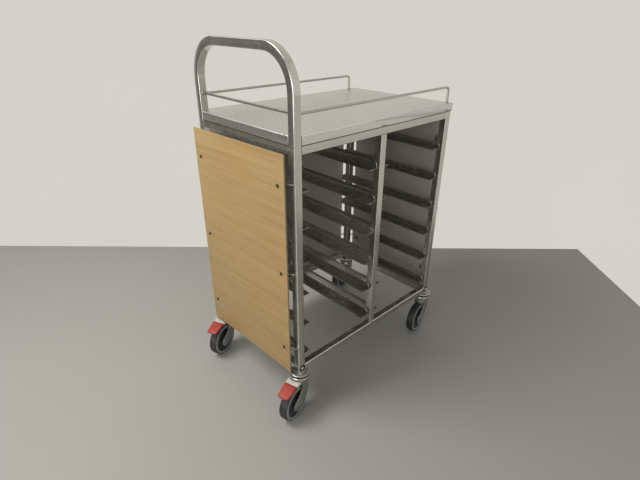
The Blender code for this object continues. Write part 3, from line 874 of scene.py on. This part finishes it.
class Castor:
    """A castor's own frame at floor level: X along the trail, Y along the axle."""

    def __init__(self, key):
        self.key = key
        stem = Vector(JOINTS[f"{key}_swivel"]["pos_m"])
        axle = Vector(JOINTS[f"{key}_wheel_spin"]["pos_m"])
        run = axle - stem
        heading = math.atan2(run.y, run.x)
        self.trail = math.hypot(run.x, run.y)
        self.axle_z = axle.z
        self.place = Matrix.Translation((stem.x, stem.y, 0.0)) @ Matrix.Rotation(heading, 4, "Z")

    def add(self, part, shape, materials, body, slot, replaces=(), angle=35.0, place=None):
        """A piece of this castor, in the castor's own frame or another."""
        name = f"castor_{self.key}_{part}"
        return add_piece(name, shape, materials, body, replaces, angle, place or self.place)

    def wheel_place(self):
        """The wheel's frame: Z along the axle."""
        return self.place @ Matrix.Translation((self.trail, 0.0, self.axle_z)) @ turn_to((0, 1, 0))

    def build_wheel(self):
        """Grey side rings, a dark dished disc with a boss, and a rounded tread."""
        half = [(0.0062, 0.0166), (0.0120, 0.0166), (0.0138, 0.0158), (0.0142, 0.0120), (0.0165, 0.0098)]
        half += [(0.0240, 0.0086), (0.0360, 0.0078), (0.0440, 0.0082), (0.0468, 0.0094), (0.0480, 0.0138)]
        half += [(0.0490, 0.0152), (0.0510, 0.0157), (0.0560, 0.0156), (0.0584, 0.0151), (0.0592, 0.0138)]
        half += [(0.0592, 0.0120), (0.0545, 0.0118)]
        shape = lathe(bmesh.new(), ring_profile(half), 72)
        for face in shape.faces:
            centre = face.calc_center_median()
            face.material_index = 1 if math.hypot(centre.x, centre.y) > 0.0474 else 0
        body = f"wheel_{self.key}"
        node = f"castor_{self.key}_wheel"
        self.add("rim", shape, [GUARD, RING], body, "wheel_plastic", [node], 40.0, self.wheel_place())
        half = [(0.0549, 0.0116), (0.0594, 0.0119), (0.0596, 0.0140), (0.0606, 0.0144), (0.0616, 0.0132)]
        half += [(0.0622, 0.0105), (0.0625, 0.0060)]
        shape = lathe(bmesh.new(), ring_profile(half), 72)
        node = f"castor_{self.key}_tyre"
        self.add("tread", shape, [RUBBER], body, "tread_rubber", [node], 50.0, self.wheel_place())

    def build_head(self):
        """The swivel's pressed ball-race cups round the head, and the axle's rounded ends."""
        cups = [(0.0300, 0.1694), (0.0316, 0.1693), (0.0326, 0.1686), (0.0331, 0.1674), (0.0330, 0.1660)]
        cups += [(0.0322, 0.1649), (0.0315, 0.1644), (0.0314, 0.1620), (0.0314, 0.1588), (0.0320, 0.1576)]
        cups += [(0.0331, 0.1562), (0.0337, 0.1542), (0.0338, 0.1510), (0.0334, 0.1484), (0.0322, 0.1468)]
        cups += [(0.0300, 0.1464)]
        shape = lathe(bmesh.new(), cups + [cups[0]], 64)
        for face in shape.faces:
            middle = face.calc_center_median()
            in_groove = math.hypot(middle.x, middle.y) < 0.0317 and 0.158 < middle.z < 0.165
            # Faces in the groove between the two cups are near-black: painted shade.
            face.material_index = 1 if in_groove else 0
        body = f"castor_{self.key}"
        self.add("race", shape, [CUP, SHADE_BLACK], body, "fork_metal", angle=40.0)
        shape = bmesh.new()
        for side in (-1, 1):
            axle = Matrix.Translation((self.trail, side * AXLE_END, self.axle_z)) @ turn_to((0, side, 0))
            washer = [(0.0, 0.0), (0.0098, 0.0), (0.0098, 0.0007), (0.0090, 0.0011), (0.0, 0.0011)]
            lathe(shape, washer, 28, axle)
            dome = [(0.0, 0.0010), (0.0078, 0.0010), (0.0078, 0.0022), (0.0068, 0.0032), (0.0048, 0.0038)]
            dome += [(0.0024, 0.0040), (0.0020, 0.0034), (0.0, 0.0033)]
            lathe(shape, dome, 28, axle)
        self.add("axle_bolt", shape, [ZINC], body, "fork_metal", angle=30.0)

    def build_brake(self):
        """The pale cover behind the pedal and the worn red pedal."""
        hinge = Vector(JOINTS[f"{self.key}_brake_press"]["pos_m"])
        centre = self.place.inverted() @ hinge
        tops = [(0.0, 0.1492), (0.5, 0.1486), (1.0, 0.1478)]
        lows = [(0.0, 0.1392), (1.0, 0.1392)]
        shape = shell(0.0345, -0.0095, centre.x - 0.0084, 0.0010, 0.0246, 0.0242, tops, lows)
        piece = self.add("cover", shape, [PALE], f"castor_{self.key}", "pedal_plastic", angle=40.0)
        carve(piece, (0.0, -0.02325, 0.1300), (0.0600, 0.02325, 0.1463))
        rear, tip = centre.x - 0.0080, PEDAL_TIP
        tops = [(0.0, 0.1472), (0.15, 0.1464), (0.4, 0.1434), (0.7, 0.1388), (0.9, 0.1356), (0.97, 0.1345)]
        tops += [(1.0, 0.1322)]
        lows = [(0.0, 0.1406), (0.12, 0.1385), (0.3, 0.1352), (1.0, 0.1262)]
        shape = shell(rear, 0.0012, tip, 0.0065, 0.0236, 0.0208, tops, lows)
        body, node = f"brake_{self.key}", f"castor_{self.key}_brake"
        piece = self.add("pedal", shape, [RED], body, "pedal_plastic", [node], 40.0)
        carve(piece, (0.0, -0.0204, 0.1200), (centre.x + 0.0062, 0.0204, centre.z + 0.0051))
        carve(piece, (0.0, -0.0182, 0.1200), (tip - 0.0120, 0.0182, 0.1318))


def ring_profile(half):
    """A closed profile for a ring from its upper half."""
    whole = half + [(radius, -height) for radius, height in reversed(half)]
    return whole + [whole[0]]


def along(points, at):
    """A value read off a list of (place, value) points."""
    for (a, low), (b, high) in zip(points, points[1:]):
        if at <= b:
            return low + (high - low) * (at - a) / (b - a)
    return points[-1][1]


def shell(rear, rear_bow, tip, tip_bow, rear_half, tip_half, tops, lows):
    """A smooth wedge along X with bowed ends, rounded upper edges and a flat underside."""
    shape = bmesh.new()
    stations, sides = 16, 14
    rings = []
    for step in range(stations + 1):
        at = step / stations
        half = rear_half + (tip_half - rear_half) * at
        top, low = along(tops, at), along(lows, at)
        edge = 0.0030
        round_x = min(1.0, 4.0 * min(at, 1.0 - at) + 0.55)
        outline = [(-half + 0.0008, low), (-half, low + 0.0012)]
        for k in range(5):
            turn = math.radians(180.0 - 90.0 * k / 4)
            outline.append((-half + edge + edge * math.cos(turn), top - edge + edge * math.sin(turn)))
        for k in range(1, sides - 4):
            outline.append((-half + edge + 2 * (half - edge) * k / (sides - 4), top))
        for k in range(5):
            turn = math.radians(90.0 - 90.0 * k / 4)
            outline.append((half - edge + edge * math.cos(turn), top - edge + edge * math.sin(turn)))
        outline += [(half, low + 0.0012), (half - 0.0008, low)]
        ring = []
        for y, z in outline:
            bow = (y / half) ** 2
            start, end = rear + rear_bow * bow, tip - tip_bow * bow
            height = low + (z - low) * (round_x if z > low else 1.0)
            ring.append(shape.verts.new((start + (end - start) * at, y, height)))
        rings.append(ring)
    count = len(rings[0])
    for first, second in zip(rings, rings[1:]):
        for i in range(count):
            j = (i + 1) % count
            shape.faces.new((first[i], first[j], second[j], second[i]))
    shape.faces.new(list(reversed(rings[0])))
    shape.faces.new(rings[-1])
    bmesh.ops.recalc_face_normals(shape, faces=shape.faces)
    return shape


def carve(piece, low, high):
    """Cuts a box, in the piece's own frame, out of a piece for good."""
    shape = bmesh.new()
    cuboid(shape, low, high)
    mesh = bpy.data.meshes.new("cutter")
    shape.to_mesh(mesh)
    shape.free()
    cutter = bpy.data.objects.new("cutter", mesh)
    bpy.context.scene.collection.objects.link(cutter)
    cutter.matrix_world = piece.matrix_world.copy()
    cut = piece.modifiers.new("carve", "BOOLEAN")
    cut.operation = "DIFFERENCE"
    cut.solver = "EXACT"
    cut.object = cutter
    bpy.context.view_layer.update()
    graph = bpy.context.evaluated_depsgraph_get()
    carved = bpy.data.meshes.new_from_object(piece.evaluated_get(graph))
    piece.modifiers.remove(cut)
    piece.data = carved
    carved.shade_smooth()
    carved.set_sharp_from_angle(angle=math.radians(40.0))
    bpy.data.objects.remove(cutter, do_unlink=True)


def build_castors():
    """Four castors; those with a brake joint also get a cover and a pedal."""
    for key in ("fl", "bl", "fr", "br"):
        castor = Castor(key)
        dress(NODES[f"castor_{key}_fork"], ZINC)
        castor.build_wheel()
        castor.build_head()
        if f"{key}_brake_press" in JOINTS:
            castor.build_brake()


# ---------------------------------------------------------------- run

make_camera()
make_stage()
dress_tubes()
dress_sheet()
build_hoop()
build_gallery()
build_frame_welds()
build_foot_bolts()
build_boards()
build_shelf_shade_strips()
build_castors()
